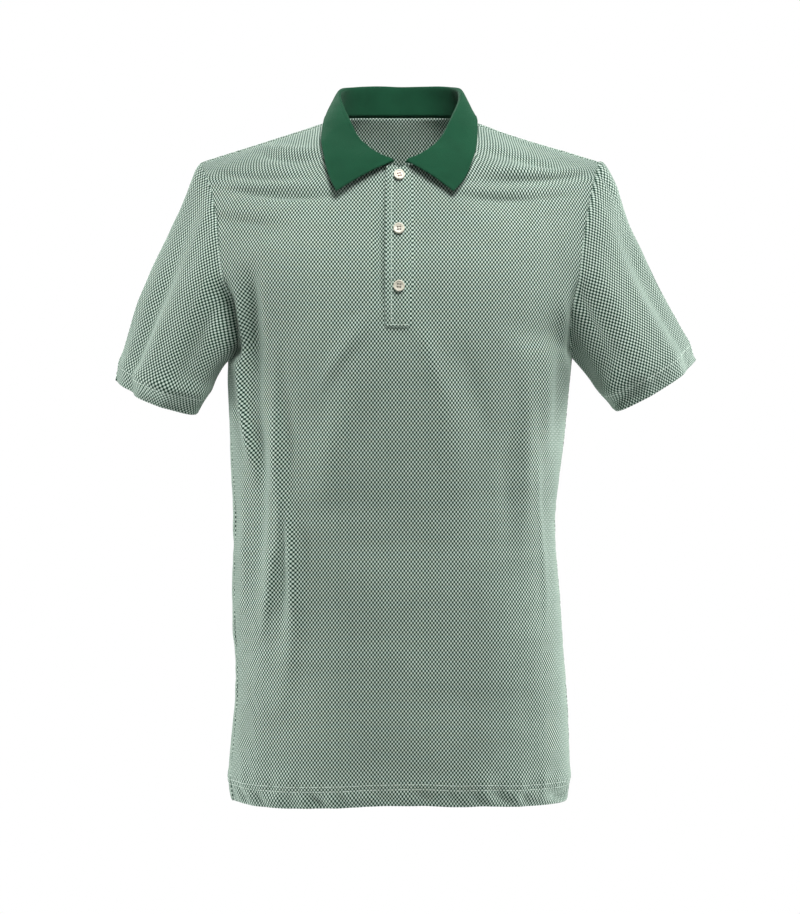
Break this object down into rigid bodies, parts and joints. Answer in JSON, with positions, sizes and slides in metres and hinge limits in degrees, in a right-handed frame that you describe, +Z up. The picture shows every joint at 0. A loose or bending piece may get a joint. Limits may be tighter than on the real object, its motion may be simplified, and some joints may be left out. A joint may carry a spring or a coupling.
{
  "type": "polo shirt",
  "caption": "Short-sleeved knitted polo shirt with a turned-down collar, a buttoned half placket and side vents, filled out as worn, with open neck, hem and cuffs.",
  "frame": {"origin": "midway between the neck ends of the shoulder seams, at their height and in the mid-plane of the shoulders, where the wearer's shoulders hold the shirt", "axes": "+Z up along the body, +Y from the front towards the back, +X towards the shirt's left sleeve, so the front faces -Y"},
  "size_m": [0.6492, 0.242, 0.799],
  "materials": {
    "body_knit": "two-colour jacquard knit, matte",
    "collar_knit": "flat rib knit, matte",
    "button": "polished, pearly"
  },
  "bodies": {
    "root": {"front": "body_knit", "back": "body_knit", "sleeve_right": "body_knit", "sleeve_left": "body_knit", "collar": "collar_knit", "placket_top": "body_knit", "placket_under": "body_knit", "button_1": "button", "button_2": "button", "button_3": "button"}
  },
  "joints": []
}
